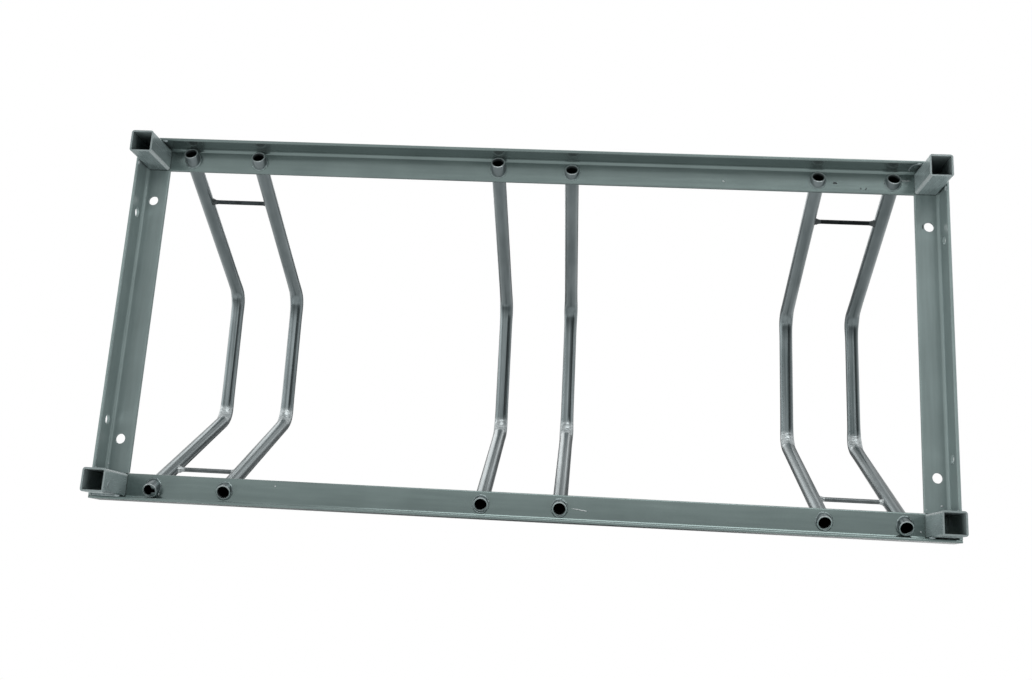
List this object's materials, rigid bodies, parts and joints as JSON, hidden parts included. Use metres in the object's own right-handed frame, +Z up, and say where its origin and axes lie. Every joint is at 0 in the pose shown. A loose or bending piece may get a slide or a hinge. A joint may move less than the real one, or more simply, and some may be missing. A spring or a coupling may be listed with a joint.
{
  "type": "bicycle parking rack",
  "caption": "Low floor rack of galvanised angle on square tube feet, with pairs of bent tube hoops that each hold one bicycle wheel.",
  "frame": {"origin": "on the ground, under the middle of the frame", "axes": "+X along the two rails, +Y from the front rail to the rear rail, along a parked wheel, +Z up"},
  "size_m": [0.91, 0.41, 0.291],
  "materials": {
    "galvanised_angle": "hot-dip galvanised hot-rolled angle, dull blue-grey zinc, satin",
    "galvanised_square_tube": "hot-dip galvanised square tube, dull blue-grey zinc, satin",
    "galvanised_round_tube": "hot-dip galvanised round tube, brighter zinc with lengthwise draw streaks",
    "galvanised_round_bar": "hot-dip galvanised round bar, dull zinc",
    "galvanised_weld": "zinc over weld metal, lumpy, a little brighter on its edges"
  },
  "bodies": {
    "root": {"rail_front": "galvanised_angle", "rail_rear": "galvanised_angle", "side_member_left": "galvanised_angle", "side_member_right": "galvanised_angle", "foot_front_left": "galvanised_square_tube", "foot_front_right": "galvanised_square_tube", "foot_rear_left": "galvanised_square_tube", "foot_rear_right": "galvanised_square_tube", "hoop_left_outer": "galvanised_round_tube", "hoop_left_inner": "galvanised_round_tube", "hoop_middle_left": "galvanised_round_tube", "hoop_middle_right": "galvanised_round_tube", "hoop_right_inner": "galvanised_round_tube", "hoop_right_outer": "galvanised_round_tube", "cross_rod_front_left": "galvanised_round_bar", "cross_rod_front_right": "galvanised_round_bar", "cross_rod_rear_left": "galvanised_round_bar", "cross_rod_rear_right": "galvanised_round_bar", "ring_welds_front": "galvanised_weld", "ring_welds_rear": "galvanised_weld", "corner_welds_front_left": "galvanised_weld", "corner_welds_front_right": "galvanised_weld", "corner_welds_rear_left": "galvanised_weld", "corner_welds_rear_right": "galvanised_weld", "rod_welds": "galvanised_weld"}
  },
  "joints": []
}
